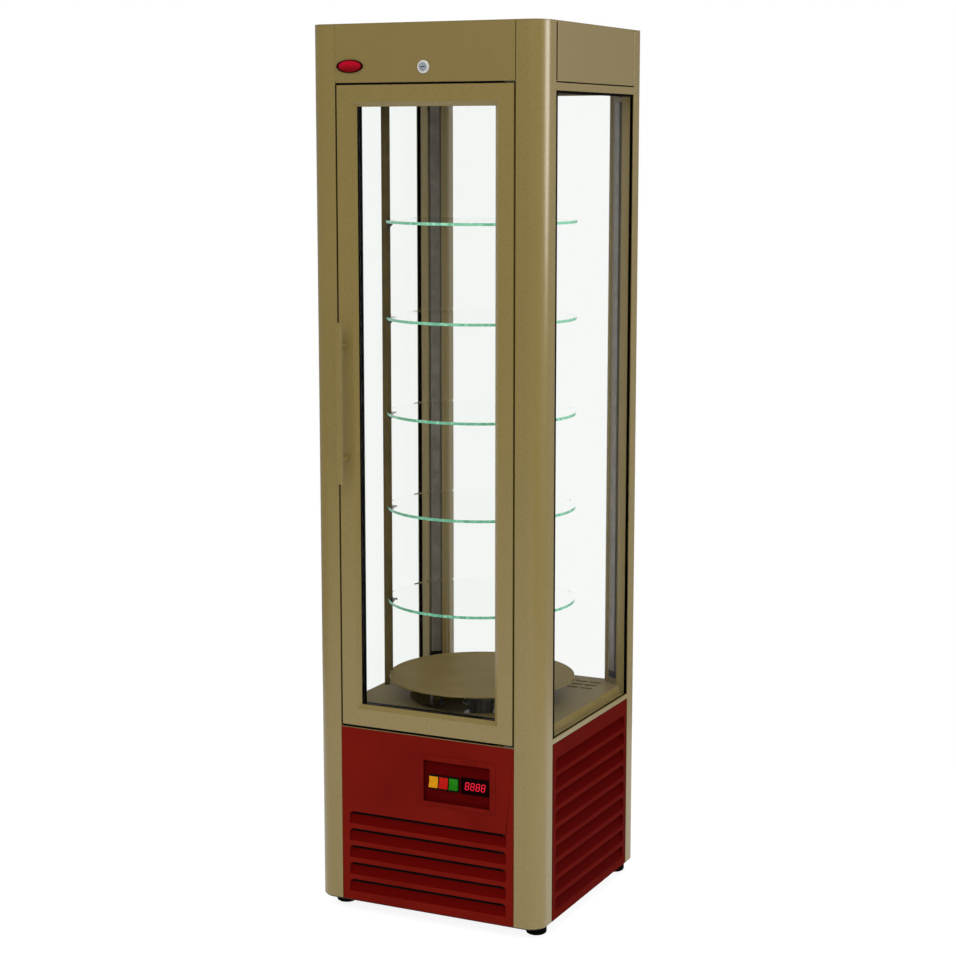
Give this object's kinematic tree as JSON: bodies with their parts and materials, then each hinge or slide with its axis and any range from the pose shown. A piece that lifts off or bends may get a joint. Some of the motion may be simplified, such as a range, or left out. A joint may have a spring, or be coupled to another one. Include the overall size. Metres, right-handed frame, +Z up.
{
  "type": "pastry display case",
  "caption": "Upright glazed cabinet with a hinged door, a turning carousel of round glass shelves and a louvred machine compartment below.",
  "frame": {"origin": "centre of the overall box on the floor, under the middle of the width and depth", "axes": "+Z up, the door faces -Y, +X to the right seen from the front"},
  "size_m": [0.525, 0.571, 1.875],
  "materials": {
    "bronze_profile": "satin bronze powder coat with a fine hammered grain",
    "bronze_sheet": "satin bronze powder coat with a fine hammered grain",
    "bronze_dark": "satin grey bronze powder coat",
    "red_sheet": "satin deep red powder coat",
    "red_bezel": "satin moulded deep red",
    "badge_red": "gloss",
    "clear_glass": "clear, polished",
    "shelf_glass": "clear with light green edges",
    "seal_rubber": "matte black",
    "black_rubber": "satin black",
    "black_plastic": "satin black",
    "black_steel": "satin black enamel",
    "bare_steel": "brushed",
    "cast_housing": "cast, matte",
    "lock_chrome": "polished",
    "yellow_plastic": "gloss",
    "red_plastic": "gloss",
    "green_plastic": "gloss",
    "display_black": "gloss",
    "lamp_diffuser": "frosted",
    "dark_bracket": "satin dark bronze",
    "fin_aluminium": "mill finish fins",
    "galvanised_sheet": "galvanised sheet",
    "grey_plastic": "satin grey",
    "copper_tube": "drawn copper"
  },
  "bodies": {
    "cabinet": {"base_frame": "black_steel", "pillar_front_left": "bronze_profile", "pillar_front_right": "bronze_profile", "pillar_rear_left": "bronze_profile", "pillar_rear_right": "bronze_profile", "lamp_strips": "lamp_diffuser", "glazing_rails": "bronze_profile", "door_landing": "bronze_sheet", "front_fascia": "bronze_sheet", "side_fascias": "bronze_sheet", "roof_panel": "bronze_sheet", "ceiling_panel": "bronze_dark", "left_glass": "clear_glass", "right_glass": "clear_glass", "rear_glass": "clear_glass", "glazing_seals": "seal_rubber", "door_hinges": "dark_bracket", "lock_barrel": "lock_chrome", "badge_plate": "badge_red", "front_panel": "red_sheet", "left_panel": "red_sheet", "right_panel": "red_sheet", "rear_panel": "red_sheet", "control_bezel": "red_bezel", "switch_housings": "black_plastic", "display": "display_black", "deck_pan": "bronze_dark", "glide_posts": "bare_steel", "bearing_block": "bare_steel", "gear_motor": "cast_housing", "compressor": "black_steel", "condenser": "fin_aluminium", "evaporator_housing": "galvanised_sheet", "evaporator_coil": "fin_aluminium", "electrical_box": "grey_plastic", "power_inlet": "black_plastic", "pipework": "copper_tube"},
    "door": {"door_frame": "bronze_profile", "door_glass": "clear_glass", "door_spacer": "black_plastic", "door_bead": "black_plastic", "door_gasket": "seal_rubber", "door_handle": "bronze_profile"},
    "carousel": {"turntable_disc": "bronze_sheet", "carousel_shaft": "bare_steel", "shaft_coupling": "bare_steel", "uprights": "bronze_profile", "shelf_brackets": "dark_bracket", "glass_shelves": "shelf_glass", "top_spider": "bronze_sheet"},
    "lock": {"lock_plug": "lock_chrome"},
    "yellow_rocker": {"yellow_switch": "yellow_plastic"},
    "red_rocker": {"red_switch": "red_plastic"},
    "green_rocker": {"green_switch": "green_plastic"},
    "condenser_rotor": {"condenser_fan": "black_plastic"},
    "evaporator_rotor": {"evaporator_fan": "black_plastic"},
    "front_left_foot": {"foot_front_left": "black_rubber"},
    "front_right_foot": {"foot_front_right": "black_rubber"},
    "rear_left_foot": {"foot_rear_left": "black_rubber"},
    "rear_right_foot": {"foot_rear_right": "black_rubber"}
  },
  "joints": [
    {"name": "door_hinge", "type": "hinge", "parent": "cabinet", "child": "door", "pos_m": [0.1905, -0.2415, 1], "axis": [0, 0, 1], "range_deg": [0, 105]},
    {"name": "lock_turn", "type": "hinge", "parent": "cabinet", "child": "lock", "pos_m": [0, -0.2495, 1.7869], "axis": [0, 1, 0], "range_deg": [0, 90]},
    {"name": "yellow_rocker_tilt", "type": "hinge", "parent": "cabinet", "child": "yellow_rocker", "pos_m": [0.0157, -0.2405, 0.3141], "axis": [1, 0, 0], "range_deg": [0, 16]},
    {"name": "red_rocker_tilt", "type": "hinge", "parent": "cabinet", "child": "red_rocker", "pos_m": [0.039, -0.2405, 0.3141], "axis": [1, 0, 0], "range_deg": [0, 16]},
    {"name": "green_rocker_tilt", "type": "hinge", "parent": "cabinet", "child": "green_rocker", "pos_m": [0.0623, -0.2405, 0.3141], "axis": [1, 0, 0], "range_deg": [0, 16]},
    {"name": "carousel_spin", "type": "hinge", "parent": "cabinet", "child": "carousel", "pos_m": [0, 0.018, 0.48], "axis": [0, 0, 1], "continuous": true},
    {"name": "condenser_fan_spin", "type": "hinge", "parent": "cabinet", "child": "condenser_rotor", "pos_m": [0, -0.1595, 0.149], "axis": [0, 1, 0], "continuous": true},
    {"name": "evaporator_fan_spin", "type": "hinge", "parent": "cabinet", "child": "evaporator_rotor", "pos_m": [-0.042, 0.118, 0.366], "axis": [0, 0, 1], "continuous": true},
    {"name": "front_left_foot_height", "type": "slide", "parent": "cabinet", "child": "front_left_foot", "axis": [0, 0, -1], "range_m": [0, 0.012]},
    {"name": "front_right_foot_height", "type": "slide", "parent": "cabinet", "child": "front_right_foot", "axis": [0, 0, -1], "range_m": [0, 0.012]},
    {"name": "rear_left_foot_height", "type": "slide", "parent": "cabinet", "child": "rear_left_foot", "axis": [0, 0, -1], "range_m": [0, 0.012]},
    {"name": "rear_right_foot_height", "type": "slide", "parent": "cabinet", "child": "rear_right_foot", "axis": [0, 0, -1], "range_m": [0, 0.012]}
  ]
}
